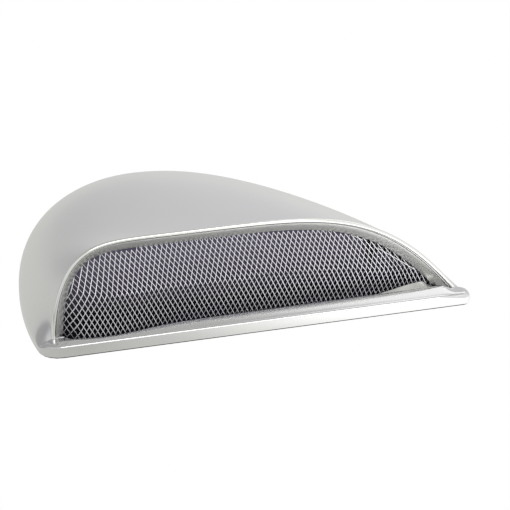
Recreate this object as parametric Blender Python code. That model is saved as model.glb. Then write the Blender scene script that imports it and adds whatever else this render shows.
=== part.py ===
"""Cowl vent: a low D-plan scoop for a boat deck, starboard-handed.

A thin chromed hood falls in a straight wedge from a wide mouth at the front
to a rounded tail. A level sill with an upright apron runs across the front,
a creased diamond-mesh screen fills the mouth behind a rolled bead, and the
whole piece is held from underneath by screws into six blind inserts.

Metres, +Z up, deck plane at z = 0, mouth facing -Y, X across the mouth. The
curves are worked out in millimetres from the apron's foot and then moved so
that zero lies under the middle of the part.
"""
import math

import bpy
import bmesh
from mathutils import Vector

MM = 0.001

# ---- driving dimensions (millimetres) ------------------------------------
WIDTH = 280.0            # across the front, over the apron
DEPTH = 306.0            # apron face to tail
ORIGIN_Y = 152.9         # the part's zero, this far behind the apron face
GASKET_T = 0.7           # deck gasket thickness
GASKET_W = 4.0           # gasket strip width
GASKET_INSET = 1.2       # gasket edge inside the rim
RIM_Z = 1.0              # underside of the hood rim
SKIN = 2.4               # wall thickness of the casting
CORNER_L = 12.0          # front plan corner, port
CORNER_R = 6.0           # front plan corner, starboard: nearly a point
SIDE_Y = 13.0            # where the front corners hand over to the sides

# plan of the sides and tail, one superellipse quarter each side of TAIL_X
TAIL_X = 13.4
SIDE_POW_L = 1.854
SIDE_POW_R = 2.263
TAIL_POW = 1.553

# mouth arch in the plane y = MOUTH_Y + MOUTH_RAKE * z
MOUTH_Y = 12.0
MOUTH_RAKE = 0.10
FOOT_Z = 9.0
ARCH_H = 56.7
ARCH_X = -45.0           # crown of the arch
ARCH_L = (86.6, 5.7, 1.757)     # half width, x power, z power
ARCH_R = (176.8, 4.25, 0.95)

# skirt and sill
SKIRT_Z_SIDE = 4.5
SKIRT_Z_FRONT = 6.8
SILL_Z = 8.8
SILL_FOOT_Y = 18.4       # the sill runs back under the bezel's feet

# bezel section along the arch: (distance inside the arch, distance back)
BEZEL = [(2.8, 0.4), (8.8, 6.0), (5.2, 6.0), (3.9, 2.4)]
BEZEL_FOOT_Z = 9.4

# bead, screen, retainer
BEAD_R = 1.3
SCREEN_T = 0.8
SCREEN_EDGE = 8.6        # screen edge, inside the arch
SCREEN_BACK = 6.7        # screen edge, behind the mouth plane
SCREEN_LOW_Z = 5.0
CREASE = 8.0
RET_IN = 9.6
RET_OUT = 6.2
RET_BACK = 8.0
RET_T = 1.2
STRIP_Z = (1.8, 7.6)

# hardware
STUD_R = 0.9
STUD_LEN = 7.4
STUD_IN = 7.2
NUT_AF = 4.0
NUT_H = 1.6
WASHER_R = 2.1
WASHER_T = 0.4
BOSS_R = 5.0
INSERT_R = 3.2
INSERT_BORE_R = 2.1
INSERT_LEN = 5.0
BOSSES = [(-40.0, 8.6, 7.6), (84.0, 8.6, 7.6), (-111.0, 92.0, 23.5),
          (107.0, 92.0, 20.2), (-56.0, 222.0, 13.2), (64.0, 222.0, 16.3)]
STUD_T = [0.07, 0.29, 0.38, 0.49, 0.60, 0.70, 0.86, 0.94]

N_BACK = 48              # columns round the sides and tail
N_SILL = 15              # steps along the straight sill
N_CORNER = 5             # points round each front corner
N_ROWS = 9               # rows from the skirt to the mouth


# ---- plan and profile curves ---------------------------------------------
def spow(v, p):
    return math.copysign(abs(v) ** p, v)


def resample(points, count):
    """Points at equal steps of arc length along a polyline."""
    run = [0.0]
    for a, b in zip(points, points[1:]):
        run.append(run[-1] + (b - a).length)
    out = []
    k = 0
    for i in range(count):
        want = run[-1] * i / (count - 1)
        while k < len(run) - 2 and run[k + 1] < want:
            k += 1
        span = run[k + 1] - run[k]
        f = (want - run[k]) / span if span > 0 else 0.0
        out.append(points[k].lerp(points[k + 1], f))
    return out


def arch_point(phi):
    c, s = math.cos(phi), math.sin(phi)
    half, px, pz = ARCH_L if c < 0 else ARCH_R
    z = FOOT_Z + ARCH_H * abs(s) ** (2.0 / pz)
    return Vector((ARCH_X + half * spow(c, 2.0 / px), MOUTH_Y + MOUTH_RAKE * z, z))


def arch(count):
    """The mouth arch, left foot to right foot."""
    fine = [arch_point(math.pi * (1.0 - i / 1600.0)) for i in range(1601)]
    return resample(fine, count)


def side_curve(count):
    """The plan behind the front corners, left to right round the tail."""
    out = []
    for i in range(count):
        th = math.pi * (1.0 - i / (count - 1))
        c, s = math.cos(th), math.sin(th)
        half = WIDTH / 2 + TAIL_X if c < 0 else WIDTH / 2 - TAIL_X
        power = SIDE_POW_L if c < 0 else SIDE_POW_R
        out.append(Vector((TAIL_X + half * spow(c, 2.0 / power),
                           SIDE_Y + (DEPTH - SIDE_Y) * abs(s) ** (2.0 / TAIL_POW), 0.0)))
    return out


def front_curve():
    """The front edge with its two corners, right to left."""
    h, r = WIDTH / 2, CORNER_R
    out = [Vector((h, SIDE_Y, 0.0))]
    for i in range(N_CORNER):
        a = -math.pi / 2 * i / (N_CORNER - 1)
        out.append(Vector((h - r + r * math.cos(a), r + r * math.sin(a), 0.0)))
    for i in range(1, N_SILL):
        out.append(Vector((h - r - (WIDTH - r - CORNER_L) * i / N_SILL, 0.0, 0.0)))
    r = CORNER_L
    for i in range(N_CORNER):
        a = -math.pi / 2 - math.pi / 2 * i / (N_CORNER - 1)
        out.append(Vector((-h + r + r * math.cos(a), r + r * math.sin(a), 0.0)))
    out.append(Vector((-h, SIDE_Y, 0.0)))
    return out


def sill_stations(right, left):
    """X of each front column at the sill's inner edge, right to left."""
    lead = 7.0
    xs = [right - lead * i / N_CORNER for i in range(N_CORNER + 1)]
    a, b = right - lead, left + lead
    xs += [a + (b - a) * i / N_SILL for i in range(1, N_SILL)]
    xs += [left + lead * (1.0 - i / N_CORNER) for i in range(N_CORNER + 1)]
    return xs


def sill_back(x):
    """How far back the sill's inner edge lies: narrow to port of centre."""
    pinch = math.exp(-((x + 98.0) / 30.0) ** 2)
    return 14.3 + 0.018 * x - 8.0 * pinch


def smooth(t):
    t = max(0.0, min(1.0, t))
    return t * t * (3.0 - 2.0 * t)


def foot_blend(x, left, right):
    """1 near the bead's two feet, 0 over the middle of the sill."""
    return max(1.0 - smooth((x - left) / 10.0), 1.0 - smooth((right - x) / 10.0))


def sill_run(x, left, right):
    """How far back the finished sill reaches at x."""
    w = foot_blend(x, left, right)
    return sill_back(x) * (1 - w) + SILL_FOOT_Y * w


def arch_frames(count):
    """Arch points with their unit vectors pointing into the mouth."""
    fine = arch(801)
    out = []
    for i in range(count):
        k = int(round(800 * i / (count - 1)))
        d = fine[min(k + 3, 800)] - fine[max(k - 3, 0)]
        out.append((fine[k], Vector((d.z, 0.0, -d.x)).normalized()))
    return out


def inset_arch(inside, back, count, z_min):
    """The arch moved inside and back, cut off level at z_min."""
    moved = []
    for p, n in arch_frames(401):
        q = p + n * inside
        moved.append(Vector((q.x, MOUTH_Y + MOUTH_RAKE * q.z + back, q.z)))
    keep = [q for q in moved if q.z >= z_min]
    return resample(keep, count)


def join_rings(back, front):
    """One closed ring: the back run left to right, the front run home."""
    return back + front[1:-1]


def plan_ring():
    return join_rings(side_curve(N_BACK), front_curve())


def mouth_ring():
    """The mouth outline in its plane: the arch, then the sill line."""
    run = arch(N_BACK)
    y = MOUTH_Y + MOUTH_RAKE * SILL_Z
    line = [Vector((x, y, SILL_Z)) for x in sill_stations(run[-1].x, run[0].x)]
    return join_rings(run, line)


# ---- mesh helpers --------------------------------------------------------
def place(obj, x, y, z):
    """Put an object at a point measured from the apron's foot."""
    obj.location = (x * MM, (y - ORIGIN_Y) * MM, z * MM)


def new_object(name, bm, collection, material=None, smooth_angle=None):
    mesh = bpy.data.meshes.new(name)
    for v in bm.verts:
        v.co *= MM
    bm.to_mesh(mesh)
    bm.free()
    obj = bpy.data.objects.new(name, mesh)
    collection.objects.link(obj)
    place(obj, 0.0, 0.0, 0.0)
    if material is not None:
        mesh.materials.append(material)
    if smooth_angle is not None:
        mesh.shade_smooth()
        mesh.set_sharp_from_angle(angle=math.radians(smooth_angle))
    return obj


def loft(rings, closed_ring=True, caps=False, closed_loft=False):
    """Quads between rings of equally many points."""
    bm = bmesh.new()
    rows = [[bm.verts.new(p) for p in ring] for ring in rings]
    n = len(rings[0])
    pairs = list(zip(rows, rows[1:]))
    if closed_loft:
        pairs.append((rows[-1], rows[0]))
    for low, high in pairs:
        for j in range(n if closed_ring else n - 1):
            k = (j + 1) % n
            bm.faces.new((low[j], low[k], high[k], high[j]))
    if caps:
        bm.faces.new(list(reversed(rows[0])))
        bm.faces.new(rows[-1])
    bmesh.ops.recalc_face_normals(bm, faces=bm.faces[:])
    if bm.calc_volume(signed=True) < 0.0:
        bmesh.ops.reverse_faces(bm, faces=bm.faces[:])
    return bm


def cylinder(name, radius, z0, z1, collection, segments=24, material=None):
    bm = bmesh.new()
    bmesh.ops.create_cone(bm, cap_ends=True, segments=segments,
                          radius1=radius, radius2=radius, depth=z1 - z0)
    bmesh.ops.translate(bm, verts=bm.verts[:], vec=(0.0, 0.0, (z0 + z1) / 2))
    return new_object(name, bm, collection, material, 40)


def tube(name, outer, inner, z0, z1, collection, material, segments=24, sides=None):
    """A ring of rectangular section about Z; sides=6 gives a hex outside."""
    rings = []
    for radius, z in ((outer, z0), (outer, z1), (inner, z1), (inner, z0)):
        ring = []
        for i in range(segments):
            a = 2 * math.pi * i / segments
            r = radius
            if sides and radius == outer:
                step = 2 * math.pi / sides
                r = radius / math.cos((a % step) - step / 2)
            ring.append(Vector((r * math.cos(a), r * math.sin(a), z)))
        rings.append(ring)
    return new_object(name, loft(rings, closed_loft=True), collection, material, 35)


def boolean(obj, cutter, operation):
    mod = obj.modifiers.new(operation.title() + "_" + cutter.name, 'BOOLEAN')
    mod.operation = operation
    mod.solver = 'EXACT'
    mod.object = cutter


def principled(name, color, metallic, roughness):
    mat = bpy.data.materials.new(name)
    mat.use_nodes = True
    bsdf = mat.node_tree.nodes["Principled BSDF"]
    bsdf.inputs["Base Color"].default_value = (*color, 1.0)
    bsdf.inputs["Metallic"].default_value = metallic
    bsdf.inputs["Roughness"].default_value = roughness
    return mat


# ---- the hood ------------------------------------------------------------
def plan_inward(ring, distance):
    """A closed plan ring moved inward, mitred at each point."""
    n = len(ring)
    out = []
    for j, p in enumerate(ring):
        e0 = (p - ring[j - 1]).normalized()
        e1 = (ring[(j + 1) % n] - p).normalized()
        n0 = Vector((e0.y, -e0.x, 0.0))
        n1 = Vector((e1.y, -e1.x, 0.0))
        m = (n0 + n1).normalized()
        out.append(p + m * (distance / max(0.5, m.dot(n0))))
    return out


def skin_rows(plan, mouth, drop):
    """Rows from the rim up and over to the mouth, for either side of the wall."""
    rings = [[Vector((p.x, p.y, RIM_Z)) for p in plan]]
    outer = plan_ring()
    for row in range(N_ROWS):
        s = math.sin(math.pi / 2 * (1.0 - row / (N_ROWS - 1.0)))
        ring = []
        for j, (p, m) in enumerate(zip(plan, mouth)):
            front = smooth((SIDE_Y - outer[j].y) / SIDE_Y) if j >= N_BACK else 0.0
            base_z = SKIRT_Z_SIDE + (SKIRT_Z_FRONT - SKIRT_Z_SIDE) * front - drop
            run_pow = 0.985 + 8.0 * front
            drop_pow = 1.2 + 0.8 * front
            rise = max(0.0, 1.0 - s ** run_pow) ** (1.0 / drop_pow)
            ring.append(Vector((m.x + (p.x - m.x) * s, m.y + (p.y - m.y) * s,
                                base_z + (m.z - base_z) * rise)))
        rings.append(ring)
    return rings


def hood_plug():
    """The hood as a solid block, closed at the rim and across the mouth."""
    return loft(skin_rows(plan_ring(), mouth_ring(), 0.0), caps=True)


def hood_cavity():
    """The hollow: up inside the wall, over the sill and out at the mouth."""
    inner_plan = plan_inward(plan_ring(), SKIN)
    z_top = SILL_Z + 0.15

    def mouth(back, sill_z, at_sill):
        run = inset_arch(SKIN, back, N_BACK, z_top)
        right, left = run[-1].x, run[0].x
        line = []
        for x in sill_stations(right, left):
            y = MOUTH_Y + MOUTH_RAKE * sill_z + back
            if at_sill:
                y = sill_run(x, left, right)
            line.append(Vector((x, y, sill_z)))
        return join_rings(run, line)

    rings = skin_rows(inner_plan, mouth(0.0, SILL_Z - SKIN, True), 1.6)
    rings[0] = [Vector((p.x, p.y, RIM_Z - 5.0)) for p in rings[0]]
    rings.append(mouth(-0.6, z_top, True))
    rings.append(mouth(-1.2, z_top, False))
    return loft(rings, caps=True)


def stud_places():
    """Centre of each screen stud on the bezel's back face."""
    frames = arch_frames(401)
    out = []
    for t in STUD_T:
        p, n = frames[int(round(t * 400))]
        q = p + n * STUD_IN
        out.append(Vector((q.x, MOUTH_Y + MOUTH_RAKE * q.z, q.z)))
    return out


def build_hood(parts, cutters, material):
    hood = new_object("cowl_shell", hood_plug(), parts, material, 32)
    boolean(hood, new_object("hood_cavity", hood_cavity(), cutters), 'DIFFERENCE')
    for i, (x, y, top_z) in enumerate(BOSSES, 1):
        boss = cylinder("boss_%d" % i, BOSS_R, RIM_Z, top_z, cutters, 16)
        place(boss, x, y, 0.0)
        boolean(hood, boss, 'UNION')
    for i, (x, y, top_z) in enumerate(BOSSES, 1):
        hole = cylinder("insert_hole_%d" % i, INSERT_R + 0.15, RIM_Z - 3.0,
                        RIM_Z + INSERT_LEN + 0.2, cutters, 16)
        place(hole, x, y, 0.0)
        boolean(hood, hole, 'DIFFERENCE')
    return hood


def arch_strip(section, count, z_min):
    """A closed section of (inside, back) corners run along the arch."""
    corners = [inset_arch(a, b, count, z_min) for a, b in section]
    return [[run[j] for run in corners] for j in range(count)]


def build_bezel(parts, cutters, material):
    bezel = new_object("mouth_bezel", loft(arch_strip(BEZEL, 40, BEZEL_FOOT_Z), caps=True),
                       parts, material, 32)
    for i, c in enumerate(stud_places(), 1):
        stud = cylinder("stud_%d" % i, STUD_R, 0.0, STUD_LEN, cutters, 16)
        stud.rotation_euler = (-math.pi / 2, 0.0, 0.0)
        place(stud, c.x, c.y + 5.2, c.z)
        boolean(bezel, stud, 'UNION')
    return bezel


# ---- bead, screen, retainer, gasket --------------------------------------
def build_bead(parts, material):
    """Rolled trim standing just ahead of the mouth edge."""
    rings = []
    ahead = Vector((0.0, -1.0, 0.0))
    for p, n in arch_frames(48):
        centre = p + ahead * (BEAD_R + 0.3) + n * 0.6
        centre.z = max(centre.z, FOOT_Z + 0.5)
        rings.append([centre + (n * math.cos(a) + ahead * math.sin(a)) * BEAD_R
                      for a in (2 * math.pi * k / 8 for k in range(8))])
    for ring, z in ((rings[0], FOOT_Z + 0.4), (rings[-1], FOOT_Z + 0.4)):
        for q in ring:
            q.z = z
    return new_object("mouth_bead", loft(rings, caps=True), parts, material, 40)


def lookup(run, x):
    for a, b in zip(run, run[1:]):
        if a.x <= x <= b.x and b.x > a.x:
            return a.lerp(b, (x - a.x) / (b.x - a.x))
    return run[0] if x < run[0].x else run[-1]


def screen_floor(x, left, right):
    """The screen's lower edge, just behind the sill's inner edge."""
    return Vector((x, sill_run(x, left, right) + 1.2, SCREEN_LOW_Z))


def crease_share(x):
    """Share of the screen's height at which the crease lies."""
    return 0.53 + 0.08 * smooth((x - 70.0) / 45.0) + 0.05 * smooth((-105.0 - x) / 20.0)


def screen_point(x, share, top):
    left, right = top[0].x, top[-1].x
    b, t = screen_floor(x, left, right), lookup(top, x)
    f = crease_share(x)
    ramp = share / f if share < f else (1.0 - share) / (1.0 - f)
    ends = smooth((x - left - 1.5) / 26.0) * smooth((right - x) / 40.0)
    y = b.y + (t.y - b.y) * share - CREASE * ramp * ends
    return Vector((x, y, b.z + (t.z - b.z) * share))


def build_screen(parts, material):
    top = inset_arch(SCREEN_EDGE, SCREEN_BACK, 300, SCREEN_LOW_Z + 4.5)
    top = sorted(top, key=lambda q: q.x)
    left, right = top[0].x, top[-1].x
    shares = [0.0, 0.2, 0.35, 0.53, 0.75, 1.0]
    columns = 30
    rings = []
    for i in range(columns + 1):
        x = left + (right - left) * (0.5 - 0.5 * math.cos(math.pi * i / columns))
        column = [screen_point(x, s, top) for s in shares]
        back = [p + Vector((0.0, SCREEN_T, 0.0)) for p in column]
        rings.append(column + list(reversed(back)))
    return new_object("mesh_screen", loft(rings, caps=True), parts, material, 30)


def build_retainer(parts, cutters, material):
    section = [(RET_IN, RET_BACK), (RET_OUT, RET_BACK),
               (RET_OUT, RET_BACK + RET_T), (RET_IN, RET_BACK + RET_T)]
    ret = new_object("screen_retainer", loft(arch_strip(section, 36, BEZEL_FOOT_Z + 3.0), caps=True),
                     parts, material, 30)
    for i, c in enumerate(stud_places(), 1):
        hole = cylinder("stud_hole_%d" % i, STUD_R + 0.25, 0.0, 14.0, cutters, 16)
        hole.rotation_euler = (-math.pi / 2, 0.0, 0.0)
        place(hole, c.x, c.y + 2.0, c.z)
        boolean(ret, hole, 'DIFFERENCE')
    return ret


def build_sill_strip(parts, material):
    """Flat bar behind the screen's lower edge."""
    rings = []
    left, right = -104.0, 104.0
    top = sorted(inset_arch(SCREEN_EDGE, SCREEN_BACK, 300, SCREEN_LOW_Z + 4.5), key=lambda q: q.x)
    for i in range(25):
        x = left + (right - left) * i / 24
        y0 = screen_floor(x, top[0].x, top[-1].x).y + SCREEN_T + 0.7
        rings.append([Vector((x, y0, STRIP_Z[0])), Vector((x, y0, STRIP_Z[1])),
                      Vector((x, y0 + 1.4, STRIP_Z[1])), Vector((x, y0 + 1.4, STRIP_Z[0]))])
    return new_object("sill_strip", loft(rings, caps=True), parts, material, 30)


def build_gasket(parts, material):
    plan = plan_ring()
    rings = [plan_inward(plan, GASKET_INSET), plan_inward(plan, GASKET_INSET + GASKET_W)]
    z = Vector((0.0, 0.0, GASKET_T))
    section = [rings[0], [p + z for p in rings[0]], [p + z for p in rings[1]], rings[1]]
    return new_object("deck_gasket", loft(section, closed_loft=True), parts, material, 30)


def build_hardware(parts, steel, zinc, brass):
    washer = nut = None
    for i, c in enumerate(stud_places(), 1):
        face = c.y + RET_BACK + RET_T + 0.25
        if washer is None:
            washer = tube("screen_washer_1", WASHER_R, STUD_R + 0.2, 0.0, WASHER_T,
                          parts, steel, 12)
            nut = tube("screen_nut_1", NUT_AF / 2, STUD_R + 0.12, 0.0, NUT_H,
                       parts, zinc, 12, sides=6)
            w, h = washer, nut
        else:
            w = bpy.data.objects.new("screen_washer_%d" % i, washer.data)
            h = bpy.data.objects.new("screen_nut_%d" % i, nut.data)
            parts.objects.link(w)
            parts.objects.link(h)
        for obj, y in ((w, face), (h, face + WASHER_T + 0.2)):
            obj.rotation_euler = (-math.pi / 2, 0.0, 0.0)
            place(obj, c.x, y, c.z)
    insert = None
    for i, (x, y, top_z) in enumerate(BOSSES, 1):
        if insert is None:
            insert = tube("deck_insert_1", INSERT_R, INSERT_BORE_R, RIM_Z + 0.1,
                          RIM_Z + INSERT_LEN, parts, brass, 16)
            obj = insert
        else:
            obj = bpy.data.objects.new("deck_insert_%d" % i, insert.data)
            parts.objects.link(obj)
        place(obj, x, y, 0.0)


# ---- build ---------------------------------------------------------------
def main():
    for obj in list(bpy.data.objects):
        bpy.data.objects.remove(obj, do_unlink=True)
    scene = bpy.context.scene
    parts = bpy.data.collections.new("cowl_vent")
    cutters = bpy.data.collections.new("cowl_vent_cutters")
    scene.collection.children.link(parts)
    scene.collection.children.link(cutters)

    chrome = principled("chrome_plate", (0.78, 0.79, 0.80), 1.0, 0.12)
    bead = principled("bead_chrome", (0.86, 0.86, 0.86), 1.0, 0.08)
    bezel = principled("bezel_chrome", (0.60, 0.60, 0.59), 1.0, 0.22)
    bar = principled("strip_steel", (0.50, 0.50, 0.51), 1.0, 0.40)
    wire = principled("screen_steel", (0.62, 0.61, 0.66), 1.0, 0.32)
    strip = principled("retainer_steel", (0.55, 0.55, 0.56), 1.0, 0.38)
    washer = principled("washer_steel", (0.60, 0.60, 0.60), 1.0, 0.35)
    nut = principled("nut_steel", (0.58, 0.58, 0.59), 1.0, 0.30)
    brass = principled("insert_brass", (0.72, 0.55, 0.25), 1.0, 0.35)
    rubber = principled("gasket_rubber", (0.03, 0.03, 0.03), 0.0, 0.85)

    build_hood(parts, cutters, chrome)
    build_bezel(parts, cutters, bezel)
    build_bead(parts, bead)
    build_screen(parts, wire)
    build_retainer(parts, cutters, strip)
    build_sill_strip(parts, bar)
    build_gasket(parts, rubber)
    build_hardware(parts, washer, nut, brass)

    for obj in cutters.objects:
        obj.hide_render = True
        obj.display_type = 'WIRE'


main()
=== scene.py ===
"""Cowl vent on a pale studio floor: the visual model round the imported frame."""

import math

import bpy
import bmesh
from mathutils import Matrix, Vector


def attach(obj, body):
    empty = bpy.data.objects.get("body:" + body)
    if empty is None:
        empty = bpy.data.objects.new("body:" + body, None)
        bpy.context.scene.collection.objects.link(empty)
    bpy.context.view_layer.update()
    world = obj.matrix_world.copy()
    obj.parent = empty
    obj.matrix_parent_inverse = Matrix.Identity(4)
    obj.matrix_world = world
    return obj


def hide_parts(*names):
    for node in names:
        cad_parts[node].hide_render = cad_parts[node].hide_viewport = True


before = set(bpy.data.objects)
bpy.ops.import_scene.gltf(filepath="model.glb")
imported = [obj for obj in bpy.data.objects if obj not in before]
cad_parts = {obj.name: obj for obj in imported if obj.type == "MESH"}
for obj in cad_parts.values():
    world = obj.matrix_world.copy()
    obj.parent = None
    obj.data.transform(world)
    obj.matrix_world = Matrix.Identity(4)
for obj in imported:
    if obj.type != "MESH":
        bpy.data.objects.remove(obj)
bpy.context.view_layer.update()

MM = 0.001
ORIGIN_Y = 152.9

# ---- the vent's curves, in millimetres from the apron's foot ---------------
WIDTH, DEPTH = 280.0, 306.0
RIM_Z, SKIN, SIDE_Y = 1.0, 2.4, 13.0
CORNER_L, CORNER_R = 12.0, 6.0
CROWN = 0.5
TAIL_X, SIDE_POW_L, SIDE_POW_R, TAIL_POW = 13.4, 1.854, 2.263, 1.553
MOUTH_Y, MOUTH_RAKE, FOOT_Z, ARCH_H, ARCH_X = 12.0, 0.10, 9.0, 56.7, -45.0
ARCH_L = (86.6, 5.7, 1.757)
ARCH_R = (176.8, 4.25, 0.95)
SKIRT_Z_SIDE, SKIRT_Z_FRONT, SILL_Z, SILL_FOOT_Y = 4.5, 6.8, 8.8, 18.4
BEAD_R = 1.3
SCREEN_EDGE, SCREEN_BACK, SCREEN_LOW_Z, CREASE = 8.6, 6.7, 5.0, 8.0
N_BACK, N_SILL, N_CORNER, N_ROWS = 220, 90, 22, 34


def smooth(t):
    t = max(0.0, min(1.0, t))
    return t * t * (3.0 - 2.0 * t)


def spow(v, p):
    return math.copysign(abs(v) ** p, v)


def resample(points, count):
    run = [0.0]
    for a, b in zip(points, points[1:]):
        run.append(run[-1] + (b - a).length)
    out, k = [], 0
    for i in range(count):
        want = run[-1] * i / (count - 1)
        while k < len(run) - 2 and run[k + 1] < want:
            k += 1
        span = run[k + 1] - run[k]
        out.append(points[k].lerp(points[k + 1], (want - run[k]) / span if span > 0 else 0.0))
    return out


def arch_point(phi):
    c, s = math.cos(phi), math.sin(phi)
    half, px, pz = ARCH_L if c < 0 else ARCH_R
    z = FOOT_Z + ARCH_H * abs(s) ** (2.0 / pz)
    return Vector((ARCH_X + half * spow(c, 2.0 / px), MOUTH_Y + MOUTH_RAKE * z, z))


ARCH_FINE = resample([arch_point(math.pi * (1.0 - i / 4000.0)) for i in range(4001)], 3001)


def arch_frames(count):
    out = []
    last = len(ARCH_FINE) - 1
    for i in range(count):
        k = int(round(last * i / (count - 1)))
        d = ARCH_FINE[min(k + 12, last)] - ARCH_FINE[max(k - 12, 0)]
        out.append((ARCH_FINE[k], Vector((d.z, 0.0, -d.x)).normalized()))
    return out


def inset_arch(inside, back, count, z_min):
    moved = []
    for p, n in arch_frames(1501):
        q = p + n * inside
        moved.append(Vector((q.x, MOUTH_Y + MOUTH_RAKE * q.z + back, q.z)))
    return resample([q for q in moved if q.z >= z_min], count)


def side_curve(count):
    out = []
    for i in range(count):
        th = math.pi * (1.0 - i / (count - 1))
        c, s = math.cos(th), math.sin(th)
        half = WIDTH / 2 + TAIL_X if c < 0 else WIDTH / 2 - TAIL_X
        power = SIDE_POW_L if c < 0 else SIDE_POW_R
        out.append(Vector((TAIL_X + half * spow(c, 2.0 / power),
                           SIDE_Y + (DEPTH - SIDE_Y) * abs(s) ** (2.0 / TAIL_POW), 0.0)))
    return out


def front_curve():
    h, r = WIDTH / 2, CORNER_R
    out = [Vector((h, SIDE_Y, 0.0))]
    for i in range(N_CORNER):
        a = -math.pi / 2 * i / (N_CORNER - 1)
        out.append(Vector((h - r + r * math.cos(a), r + r * math.sin(a), 0.0)))
    for i in range(1, N_SILL):
        out.append(Vector((h - r - (WIDTH - r - CORNER_L) * i / N_SILL, 0.0, 0.0)))
    r = CORNER_L
    for i in range(N_CORNER):
        a = -math.pi / 2 - math.pi / 2 * i / (N_CORNER - 1)
        out.append(Vector((-h + r + r * math.cos(a), r + r * math.sin(a), 0.0)))
    out.append(Vector((-h, SIDE_Y, 0.0)))
    return out


def sill_stations(right, left):
    lead = 7.0
    xs = [right - lead * i / N_CORNER for i in range(N_CORNER + 1)]
    a, b = right - lead, left + lead
    xs += [a + (b - a) * i / N_SILL for i in range(1, N_SILL)]
    xs += [left + lead * (1.0 - i / N_CORNER) for i in range(N_CORNER + 1)]
    return xs


def sill_back(x):
    return 14.3 + 0.018 * x - 8.0 * math.exp(-((x + 98.0) / 30.0) ** 2)


def sill_run(x, left, right):
    w = max(1.0 - smooth((x - left) / 10.0), 1.0 - smooth((right - x) / 10.0))
    return sill_back(x) * (1 - w) + SILL_FOOT_Y * w


def plan_ring():
    return side_curve(N_BACK) + front_curve()[1:-1]


def mouth_ring():
    step = (len(ARCH_FINE) - 1) / (N_BACK - 1.0)
    run = [ARCH_FINE[int(round(step * i))] for i in range(N_BACK)]
    y = MOUTH_Y + MOUTH_RAKE * SILL_Z
    line = [Vector((x, y, SILL_Z)) for x in sill_stations(run[-1].x, run[0].x)]
    return run + line[1:-1]


def plan_inward(ring, distance):
    n, out = len(ring), []
    for j, p in enumerate(ring):
        e0 = (p - ring[j - 1]).normalized()
        e1 = (ring[(j + 1) % n] - p).normalized()
        n0, n1 = Vector((e0.y, -e0.x, 0.0)), Vector((e1.y, -e1.x, 0.0))
        m = (n0 + n1).normalized()
        out.append(p + m * (distance / max(0.5, m.dot(n0))))
    return out


def sill_crown(x, y):
    """Height added to the sill: up at a slope to a lip, then down behind it."""
    inner = sill_back(x)
    start = 1.3
    lip = (0.56 * inner + 1.528 * CROWN * start) / (0.56 + 1.528 * CROWN)
    top = CROWN * (lip - start)
    end = min(inner, 12.6) - 0.2
    up = CROWN * (y - start)
    down = top * (1.0 - smooth((y - lip - 0.5) / max(1.0, end - lip - 0.5)))
    k = 0.5
    h = min(up, down) - k * max(0.0, 1.0 - abs(up - down) / (2.0 * k)) ** 2 / 2.0
    return max(0.0, h) * smooth((131.0 - abs(x)) / 9.0)


# ---- mesh helpers ----------------------------------------------------------
def loft(rings, closed_ring=True, caps=False, closed_loft=False):
    bm = bmesh.new()
    rows = [[bm.verts.new(p) for p in ring] for ring in rings]
    n = len(rings[0])
    pairs = list(zip(rows, rows[1:]))
    if closed_loft:
        pairs.append((rows[-1], rows[0]))
    for low, high in pairs:
        for j in range(n if closed_ring else n - 1):
            k = (j + 1) % n
            bm.faces.new((low[j], low[k], high[k], high[j]))
    if caps:
        bm.faces.new(list(reversed(rows[0])))
        bm.faces.new(rows[-1])
    bmesh.ops.recalc_face_normals(bm, faces=bm.faces[:])
    if bm.calc_volume(signed=True) < 0.0:
        bmesh.ops.reverse_faces(bm, faces=bm.faces[:])
    return bm


def make(name, bm, material=None, angle=None):
    """Mesh object from a bmesh in millimetres, moved into the row frame."""
    for v in bm.verts:
        v.co = Vector((v.co.x, v.co.y - ORIGIN_Y, v.co.z)) * MM
    mesh = bpy.data.meshes.new(name)
    bm.to_mesh(mesh)
    bm.free()
    obj = bpy.data.objects.new(name, mesh)
    bpy.context.scene.collection.objects.link(obj)
    if material is not None:
        mesh.materials.append(material)
    if angle is not None:
        mesh.shade_smooth()
        mesh.set_sharp_from_angle(angle=math.radians(angle))
    return obj


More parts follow.
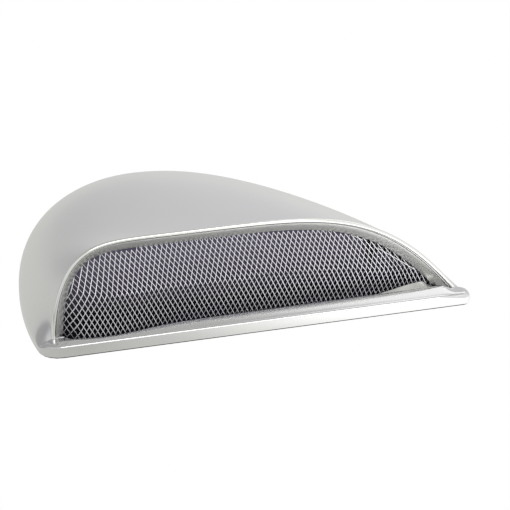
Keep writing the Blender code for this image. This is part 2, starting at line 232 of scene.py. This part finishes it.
# ---- materials -------------------------------------------------------------
def plated(name, color, roughness, metallic=1.0, spread=0.05, scale=900.0, bump=0.004,
           tint=(1.0, 1.0, 1.0), wear=0.03):
    """Metal finish: fine mottling in colour and gloss, with a slight bump."""
    mat = bpy.data.materials.new(name)
    mat.use_nodes = True
    tree = mat.node_tree
    nodes, links = tree.nodes, tree.links
    bsdf = nodes["Principled BSDF"]
    bsdf.inputs["Metallic"].default_value = metallic
    bsdf.inputs["Specular Tint"].default_value = (*tint, 1.0)
    coord = nodes.new("ShaderNodeTexCoord")
    broad = nodes.new("ShaderNodeTexNoise")
    broad.inputs["Scale"].default_value = 14.0
    broad.inputs["Detail"].default_value = 3.0
    fine = nodes.new("ShaderNodeTexNoise")
    fine.inputs["Scale"].default_value = scale
    fine.inputs["Detail"].default_value = 4.0
    links.new(coord.outputs["Object"], broad.inputs["Vector"])
    links.new(coord.outputs["Object"], fine.inputs["Vector"])
    ramp = nodes.new("ShaderNodeMix")
    ramp.data_type = 'RGBA'
    a = [c * (1.0 - wear) for c in color]
    b = [min(1.0, c * (1.0 + wear)) for c in color]
    ramp.inputs[6].default_value = (*a, 1.0)
    ramp.inputs[7].default_value = (*b, 1.0)
    links.new(broad.outputs["Fac"], ramp.inputs[0])
    links.new(ramp.outputs[2], bsdf.inputs["Base Color"])
    rough = nodes.new("ShaderNodeMapRange")
    rough.inputs["From Min"].default_value = 0.3
    rough.inputs["From Max"].default_value = 0.7
    rough.inputs["To Min"].default_value = roughness * (1.0 - spread)
    rough.inputs["To Max"].default_value = roughness * (1.0 + spread)
    links.new(fine.outputs["Fac"], rough.inputs["Value"])
    links.new(rough.outputs["Result"], bsdf.inputs["Roughness"])
    if bump > 0:
        b_node = nodes.new("ShaderNodeBump")
        b_node.inputs["Strength"].default_value = 0.15
        b_node.inputs["Distance"].default_value = bump * MM
        links.new(fine.outputs["Fac"], b_node.inputs["Height"])
        links.new(b_node.outputs["Normal"], bsdf.inputs["Normal"])
    return mat


CHROME = plated("hood_chrome", (0.72, 0.72, 0.725), 0.17, metallic=0.92, bump=0.001)
BEZEL = plated("bezel_chrome_finish", (0.70, 0.705, 0.68), 0.26, metallic=0.65, bump=0.0006, wear=0.015)
BEAD = plated("bead_chrome_finish", (0.86, 0.87, 0.84), 0.10)
WIRE = plated("screen_wire", (0.95, 0.93, 1.0), 0.42, metallic=0.66, spread=0.15, scale=2500.0, bump=0.01, wear=0.05)
STEEL = plated("satin_steel", (0.52, 0.52, 0.53), 0.38, spread=0.15)
# Near-black steel for the retainer and sill strip: painted shade for the recess behind the screen.
RECESS_SHADE_STEEL = plated("steel_darkened_as_recess_shade", (0.035, 0.034, 0.04), 0.5, metallic=0.6, spread=0.15)
BRASS = plated("turned_brass", (0.72, 0.55, 0.25), 0.32, spread=0.15)
RUBBER = plated("gasket_rubber_finish", (0.03, 0.03, 0.03), 0.85, metallic=0.0, bump=0.05)

# ---- hood ------------------------------------------------------------------
def skin_rows(plan, mouth, drop):
    rings = [[Vector((p.x, p.y, RIM_Z)) for p in plan]]
    outer = plan_ring()
    for row in range(N_ROWS):
        s = math.sin(math.pi / 2 * (1.0 - row / (N_ROWS - 1.0)))
        ring = []
        for j, (p, m) in enumerate(zip(plan, mouth)):
            front = smooth((SIDE_Y - outer[j].y) / SIDE_Y) if j >= N_BACK else 0.0
            beak = smooth((outer[j].x - 118.0) / 20.0) * smooth((60.0 - outer[j].y) / 50.0)
            base_z = SKIRT_Z_SIDE + (SKIRT_Z_FRONT - SKIRT_Z_SIDE) * front * (1.0 - beak) - 1.7 * beak - drop
            run_pow = 0.985 + 8.0 * front
            drop_pow = 1.2 + 0.8 * front
            rise = max(0.0, 1.0 - s ** run_pow) ** (1.0 / drop_pow)
            q = Vector((m.x + (p.x - m.x) * s, m.y + (p.y - m.y) * s,
                        base_z + (m.z - base_z) * rise))
            if drop == 0.0 and front > 0.0:
                q.z += sill_crown(q.x, q.y) * front
            ring.append(q)
        rings.append(ring)
    return rings


def build_hood():
    plan = plan_ring()
    hood = make("hood_body", loft(skin_rows(plan, mouth_ring(), 0.0), caps=True), CHROME)
    z_top = SILL_Z + 0.15

    def mouth(back, sill_z, at_sill):
        run = inset_arch(SKIN, back, N_BACK, z_top)
        right, left = run[-1].x, run[0].x
        line = []
        for x in sill_stations(right, left):
            y = MOUTH_Y + MOUTH_RAKE * sill_z + back
            if at_sill:
                y = sill_run(x, left, right)
            line.append(Vector((x, y, sill_z)))
        return run + line[1:-1]

    rings = skin_rows(plan_inward(plan, SKIN), mouth(0.0, SILL_Z - SKIN, True), 1.6)
    rings[0] = [Vector((p.x, p.y, RIM_Z - 5.0)) for p in rings[0]]
    rings.append(mouth(-0.6, z_top, True))
    rings.append(mouth(-1.2, z_top, False))
    cutter = make("hood_hollow_cutter", loft(rings, caps=True))
    mod = hood.modifiers.new("hollow", 'BOOLEAN')
    mod.operation, mod.solver, mod.object = 'DIFFERENCE', 'EXACT', cutter
    graph = bpy.context.evaluated_depsgraph_get()
    graph.update()
    mesh = bpy.data.meshes.new_from_object(hood.evaluated_get(graph))
    hood.modifiers.clear()
    hood.data = mesh
    bpy.data.objects.remove(cutter, do_unlink=True)
    mesh.shade_smooth()
    mesh.set_sharp_from_angle(angle=math.radians(28))
    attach(hood, "root")
    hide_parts("cowl_shell")
    return hood


BOSSES = [(-40.0, 8.6, 7.6), (84.0, 8.6, 7.6), (-111.0, 92.0, 23.5),
          (107.0, 92.0, 20.2), (-56.0, 222.0, 13.2), (64.0, 222.0, 16.3)]


def build_bosses():
    """The six blind bosses under the hood, run up into its wall."""
    for i, (x, y, top) in enumerate(BOSSES, 1):
        profile = [(3.35, RIM_Z + 5.2), (3.35, RIM_Z + 0.3), (3.65, RIM_Z), (4.7, RIM_Z),
                   (5.0, RIM_Z + 0.3), (5.0, top)]
        rings = [[Vector((x + r * math.cos(a), y + r * math.sin(a), z))
                  for a in (2 * math.pi * k / 40 for k in range(40))] for r, z in profile]
        boss = make("deck_boss_%d" % i, loft(rings, caps=True), CHROME, 40)
        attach(boss, "root")


def arch_strip(section, count, z_min):
    corners = [inset_arch(a, b, count, z_min) for a, b in section]
    return [[run[j] for run in corners] for j in range(count)]


def build_bezel():
    section = [(2.75, 0.45), (2.95, 0.30), (3.2, 0.40), (5.9, 2.95), (8.6, 5.45), (8.85, 5.75), (8.75, 6.0),
               (5.2, 6.0), (3.9, 2.4)]
    bezel = make("mouth_bezel_skin", loft(arch_strip(section, 300, 9.1), caps=True), BEZEL, 35)
    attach(bezel, "root")
    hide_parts("mouth_bezel")
    return bezel


def build_heel():
    """Small ramp from the sill's inner edge up to the screen at the right."""
    rings = []
    for i in range(61):
        x = 74.0 + 45.0 * i / 60
        d = 4.0 * smooth((x - 74.0) / 34.0) * (1.0 - smooth((x - 111.5) / 7.5)) + 0.05
        y0 = min(sill_back(x), 12.9) - 0.4
        z0 = SILL_Z - 0.3
        y1 = max(y0 + 0.6, screen_y(x, SILL_Z + d) - 0.95)
        rings.append([Vector((x, y0, z0)), Vector((x, y0 + 0.3, z0 + 0.35)),
                      Vector((x, y1, SILL_Z + d)), Vector((x, y1 + 0.2, SILL_Z + d - 0.1)), Vector((x, y1 + 0.2, z0 - 0.4)),
                      Vector((x, y0, z0 - 0.4))])
    heel = make("recess_heel", loft(rings, caps=True), BEZEL, 30)
    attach(heel, "root")
    return heel


def build_bead():
    rings = []
    ahead = Vector((0.0, -1.0, 0.0))
    for p, n in arch_frames(320):
        centre = p + ahead * (BEAD_R + 0.1) + n * 0.6
        centre.z = max(centre.z, FOOT_Z - 0.1)
        rings.append([centre + (n * math.cos(a) + ahead * math.sin(a)) * BEAD_R
                      for a in (2 * math.pi * k / 20 for k in range(20))])
    for ring in (rings[0], rings[-1]):
        for q in ring:
            q.z = FOOT_Z - 0.15
    bead = make("mouth_bead_trim", loft(rings, caps=True), BEAD, 45)
    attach(bead, "root")
    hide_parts("mouth_bead")
    return bead


# ---- screen ----------------------------------------------------------------
TOP = sorted(inset_arch(SCREEN_EDGE, SCREEN_BACK, 600, SCREEN_LOW_Z + 4.5), key=lambda q: q.x)
WIDE = sorted(inset_arch(SCREEN_EDGE - 1.0, SCREEN_BACK, 600, SCREEN_LOW_Z + 2.5), key=lambda q: q.x)


def lookup(run, x):
    if x <= run[0].x:
        return run[0]
    if x >= run[-1].x:
        return run[-1]
    lo, hi = 0, len(run) - 1
    while hi - lo > 1:
        mid = (lo + hi) // 2
        if run[mid].x <= x:
            lo = mid
        else:
            hi = mid
    a, b = run[lo], run[hi]
    return a.lerp(b, (x - a.x) / (b.x - a.x) if b.x > a.x else 0.0)


def crease_share(x):
    return 0.53 + 0.08 * smooth((x - 70.0) / 45.0) + 0.05 * smooth((-105.0 - x) / 20.0)


def screen_y(x, z):
    """Depth of the creased sheet at (x, z)."""
    left, right = TOP[0].x, TOP[-1].x
    top = lookup(TOP, x)
    low = sill_run(x, left, right) + 1.2
    share = (z - SCREEN_LOW_Z) / max(4.0, top.z - SCREEN_LOW_Z)
    f = crease_share(x)
    s = max(-0.1, min(1.15, share))
    ramp = s / f if s < f else (1.0 - s) / (1.0 - f)
    ends = smooth((x - left - 1.5) / 26.0) * smooth((right - x) / 40.0)
    return low + (top.y - low) * s - CREASE * ramp * ends


def row_line(x):
    """The lattice's own level line, drooping towards the right."""
    return 34.0 - 0.00040 * max(0.0, x + 60.0) ** 2


def build_screen():
    pitch = 3.2
    up_z, low_z = 5.32, 5.50

    def node(i, j):
        """Lattice point: i half pitches across, j half rows above the crease."""
        xc = -0.5 * pitch + i * pitch / 2
        if j >= 0:
            lean = 0.254 - 0.00066 * (xc + 90.0)
            rise = j * up_z / 2
            return Vector((xc - lean * rise, 0.0, row_line(xc) + rise))
        lean = 0.02 + 0.0004 * max(0.0, xc + 60.0)
        fall = -j * low_z / 2
        return Vector((xc - lean * fall, 0.0, row_line(xc) - fall))

    def inside(q):
        if not (WIDE[0].x + 0.2 < q.x < WIDE[-1].x - 0.2):
            return False
        return SCREEN_LOW_Z - 0.6 <= q.z <= lookup(WIDE, q.x).z - 0.1

    span_i = range(-90, 100)
    span_j = range(-26, 16)
    pts = {(i, j): node(i, j) for i in span_i for j in span_j}
    live = {k for k, q in pts.items() if (k[0] + k[1]) % 2 == 0 and inside(q)}
    shrink = 0.85
    bm = bmesh.new()
    made = {}

    def corner(i, j, side):
        """One corner of the hole centred at (i, j), pulled in from its node."""
        key = (i, j, side)
        if key not in made:
            di, dj, back = {"L": (-1, 0, 0.10), "R": (1, 0, -0.10),
                            "T": (0, 1, 0.20), "B": (0, -1, -0.20)}[side]
            c, n = pts[(i, j)], pts[(i + di, j + dj)]
            q = c.lerp(n, shrink)
            q.y = screen_y(q.x, q.z) + back
            made[key] = bm.verts.new(q)
        return made[key]

    front = []
    for (i, j) in sorted(live):
        if (i - 1, j - 1) not in pts or (i + 2, j + 2) not in pts or (i - 2, j - 2) not in pts:
            continue
        ring = (corner(i + 1, j, "L"), corner(i, j + 1, "B"), corner(i - 1, j, "R"), corner(i, j - 1, "T"))
        front.append(ring)
        if (i + 1, j + 1) in live:
            front.append((corner(i + 1, j, "L"), corner(i + 1, j, "T"),
                          corner(i, j + 1, "R"), corner(i, j + 1, "B")))
        if (i - 1, j + 1) in live:
            front.append((corner(i, j + 1, "B"), corner(i, j + 1, "L"),
                          corner(i - 1, j, "T"), corner(i - 1, j, "R")))
    twin = {}
    for v in list(bm.verts):
        twin[v] = bm.verts.new(v.co + Vector((0.0, 0.3, 0.0)))
    edges = {}
    for ring in front:
        bm.faces.new(ring)
        bm.faces.new([twin[v] for v in reversed(ring)])
        for a, b in zip(ring, ring[1:] + ring[:1]):
            edges.setdefault(frozenset((a, b)), []).append((a, b))
    for uses in edges.values():
        if len(uses) == 1:
            a, b = uses[0]
            bm.faces.new((b, a, twin[a], twin[b]))
    bmesh.ops.recalc_face_normals(bm, faces=bm.faces[:])
    if bm.calc_volume(signed=True) < 0.0:
        bmesh.ops.reverse_faces(bm, faces=bm.faces[:])
    screen = make("diamond_screen", bm, WIRE)
    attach(screen, "root")
    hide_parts("mesh_screen")
    return screen


build_hood()
build_bosses()
build_bezel()
build_bead()
build_screen()
build_heel()

# The retainer and sill strip take the near-black steel: painted shade in the recess behind the screen.
FINISH = {"screen_retainer": RECESS_SHADE_STEEL, "sill_strip": RECESS_SHADE_STEEL, "deck_gasket": RUBBER}
for name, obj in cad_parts.items():
    mat = FINISH.get(name)
    if mat is None and name.startswith(("screen_washer", "screen_nut")):
        mat = STEEL
    if mat is None and name.startswith("deck_insert"):
        mat = BRASS
    if mat is not None:
        for s in obj.material_slots:
            s.material = mat

# ---- studio ----------------------------------------------------------------
def shader_mat(name):
    mat = bpy.data.materials.new(name)
    mat.use_nodes = True
    mat.node_tree.nodes.clear()
    return mat, mat.node_tree.nodes, mat.node_tree.links


def ramp_node(nodes, stops):
    ramp = nodes.new("ShaderNodeValToRGB")
    elements = ramp.color_ramp.elements
    while len(elements) < len(stops):
        elements.new(0.5)
    for e, (at, color) in zip(elements, stops):
        e.position = at
        e.color = (*color, 1.0)
    return ramp


def fit(nodes, links, source, low, high):
    node = nodes.new("ShaderNodeMapRange")
    node.inputs["From Min"].default_value = low
    node.inputs["From Max"].default_value = high
    links.new(source, node.inputs["Value"])
    return node.outputs["Result"]


def blend(nodes, links, factor, a, b):
    node = nodes.new("ShaderNodeMix")
    node.data_type = 'RGBA'
    links.new(factor, node.inputs[0])
    links.new(a, node.inputs[6])
    links.new(b, node.inputs[7])
    return node.outputs[2]


def floor_material():
    """Pale sweep: white where it is looked at, softly graded where it is mirrored."""
    mat, nodes, links = shader_mat("floor_pale")
    out = nodes.new("ShaderNodeOutputMaterial")
    mix = nodes.new("ShaderNodeMixShader")
    path = nodes.new("ShaderNodeLightPath")
    seen = nodes.new("ShaderNodeEmission")
    seen.inputs["Color"].default_value = (1.0, 1.0, 1.0, 1.0)
    seen.inputs["Strength"].default_value = 1.0
    coord = nodes.new("ShaderNodeTexCoord")
    sep = nodes.new("ShaderNodeSeparateXYZ")
    links.new(coord.outputs["Object"], sep.inputs[0])
    unit = nodes.new("ShaderNodeVectorMath")
    unit.operation = 'NORMALIZE'
    links.new(coord.outputs["Object"], unit.inputs[0])
    way = nodes.new("ShaderNodeSeparateXYZ")
    links.new(unit.outputs[0], way.inputs[0])
    length = nodes.new("ShaderNodeVectorMath")
    length.operation = 'LENGTH'
    links.new(coord.outputs["Object"], length.inputs[0])
    far = ramp_node(nodes, FAR)
    links.new(fit(nodes, links, way.outputs["X"], -1.0, 1.0), far.inputs[0])
    side = ramp_node(nodes, NEAR_SIDE)
    links.new(fit(nodes, links, sep.outputs["X"], -0.3, 0.3), side.inputs[0])
    front = ramp_node(nodes, NEAR_FRONT)
    links.new(fit(nodes, links, sep.outputs["X"], -0.2, 0.2), front.inputs[0])
    near = blend(nodes, links, fit(nodes, links, sep.outputs["Y"], -0.12, -0.17), side.outputs[0], front.outputs[0])
    both = blend(nodes, links, fit(nodes, links, length.outputs["Value"], 0.30, 0.55), near, far.outputs[0])
    glow = nodes.new("ShaderNodeEmission")
    links.new(both, glow.inputs["Color"])
    links.new(path.outputs["Is Camera Ray"], mix.inputs[0])
    links.new(glow.outputs[0], mix.inputs[1])
    links.new(seen.outputs[0], mix.inputs[2])
    links.new(mix.outputs[0], out.inputs["Surface"])
    return mat


def painted_shade_sheet_material():
    """Painted shade: a dark glowing sheet under the hood that stands in for its shaded inside, painted paler towards
    the tail.
    """
    mat, nodes, links = shader_mat("hood_inside_painted_shade")
    out = nodes.new("ShaderNodeOutputMaterial")
    coord = nodes.new("ShaderNodeTexCoord")
    sep = nodes.new("ShaderNodeSeparateXYZ")
    span = nodes.new("ShaderNodeMapRange")
    span.inputs["From Min"].default_value = -0.09
    span.inputs["From Max"].default_value = 0.0
    ramp = nodes.new("ShaderNodeValToRGB")
    ramp.color_ramp.elements[0].color = (*PAINTED_SHADE_NEAR, 1.0)
    ramp.color_ramp.elements[1].color = (*PAINTED_SHADE_FAR, 1.0)
    glow = nodes.new("ShaderNodeEmission")
    links.new(coord.outputs["Object"], sep.inputs[0])
    links.new(sep.outputs["Y"], span.inputs["Value"])
    links.new(span.outputs["Result"], ramp.inputs[0])
    links.new(ramp.outputs[0], glow.inputs["Color"])
    links.new(glow.outputs[0], out.inputs["Surface"])
    return mat


FAR = [(0.0, (0.40, 0.40, 0.405)), (0.25, (0.42, 0.42, 0.425)), (0.5, (0.50, 0.50, 0.505)),
       (0.66, (0.68, 0.68, 0.69)), (0.85, (0.74, 0.74, 0.75))]
NEAR_SIDE = [(0.0, (0.70, 0.70, 0.672)), (0.35, (0.68, 0.68, 0.652)), (0.65, (0.74, 0.74, 0.72)), (1.0, (0.80, 0.80, 0.79))]
NEAR_FRONT = [(0.0, (0.66, 0.66, 0.63)), (0.22, (0.58, 0.58, 0.55)), (0.36, (0.74, 0.74, 0.71)),
              (0.5, (1.12, 1.12, 1.08)), (0.66, (1.6, 1.6, 1.58))]
# Painted shade inside the hood: near-black at the front, paler grey-violet towards the tail.
PAINTED_SHADE_NEAR = (0.004, 0.004, 0.005)
PAINTED_SHADE_FAR = (0.075, 0.070, 0.098)

bm = bmesh.new()
bmesh.ops.create_grid(bm, x_segments=8, y_segments=8, size=6000.0)
floor = make("studio_floor", bm, floor_material())
floor.location.z = -0.0004

# A dark glowing sheet under the hood: painted shade that stands in for its shaded inside.
shade_sheet_bm = bmesh.new()
shade_sheet_bm.faces.new([shade_sheet_bm.verts.new(p + Vector((0.0, 0.0, 0.05))) for p in plan_inward(plan_ring(), 6.0)])
make("painted_shade_sheet", shade_sheet_bm, painted_shade_sheet_material())


def area(name, loc, target, size, power, color=(1.0, 1.0, 1.0)):
    light = bpy.data.lights.new(name, 'AREA')
    light.shape = 'RECTANGLE'
    light.size, light.size_y = size
    light.energy = power
    light.color = color
    obj = bpy.data.objects.new(name, light)
    bpy.context.scene.collection.objects.link(obj)
    obj.location = loc
    obj.rotation_euler = (Vector(target) - Vector(loc)).to_track_quat('-Z', 'Y').to_euler()
    return obj


area("key_top", (1.0, 0.2, 1.5), (0.1, 0.0, 0.0), (1.0, 0.9), 2.1)
area("front_soft", (0.5, -2.2, 1.5), (0.0, -0.1, 0.0), (1.4, 0.8), 9.0)

world = bpy.data.worlds.new("studio")
bpy.context.scene.world = world
world.use_nodes = True
wn, wl = world.node_tree.nodes, world.node_tree.links
bg = wn["Background"]
coord = wn.new("ShaderNodeTexCoord")
sep = wn.new("ShaderNodeSeparateXYZ")
wl.new(coord.outputs["Generated"], sep.inputs[0])
back = ramp_node(wn, FAR)
wl.new(fit(wn, wl, sep.outputs["X"], -1.0, 1.0), back.inputs[0])
face = ramp_node(wn, [(0.0, (0.72, 0.72, 0.73)), (1.0, (1.0, 1.0, 1.0))])
wl.new(fit(wn, wl, sep.outputs["X"], -0.6, 0.6), face.inputs[0])
level = blend(wn, wl, fit(wn, wl, sep.outputs["Y"], 0.55, -0.35), back.outputs[0], face.outputs[0])
above = ramp_node(wn, [(0.0, (0.42, 0.42, 0.41)), (1.0, (0.56, 0.56, 0.55))])
wl.new(fit(wn, wl, sep.outputs["X"], -0.5, 0.6), above.inputs[0])
wl.new(blend(wn, wl, fit(wn, wl, sep.outputs["Z"], 0.55, 0.85), level, above.outputs[0]), bg.inputs["Color"])
bg.inputs["Strength"].default_value = 1.0

cam_data = bpy.data.cameras.new("camera")
cam_data.lens = 224.18
cam_data.sensor_width = 36.0
cam_data.clip_end = 50.0
cam = bpy.data.objects.new("camera", cam_data)
bpy.context.scene.collection.objects.link(cam)
aim = Vector((16.0, 60.0 - ORIGIN_Y, 27.89)) * MM
az, el, dist = math.radians(20.0), math.radians(20.1205), 2.0
cam.location = aim + Vector((-math.sin(az) * math.cos(el), -math.cos(az) * math.cos(el), math.sin(el))) * dist
cam.rotation_euler = (math.pi / 2 - el, 0.0, -az)
bpy.context.scene.camera = cam
bpy.context.scene.view_settings.view_transform = 'Standard'
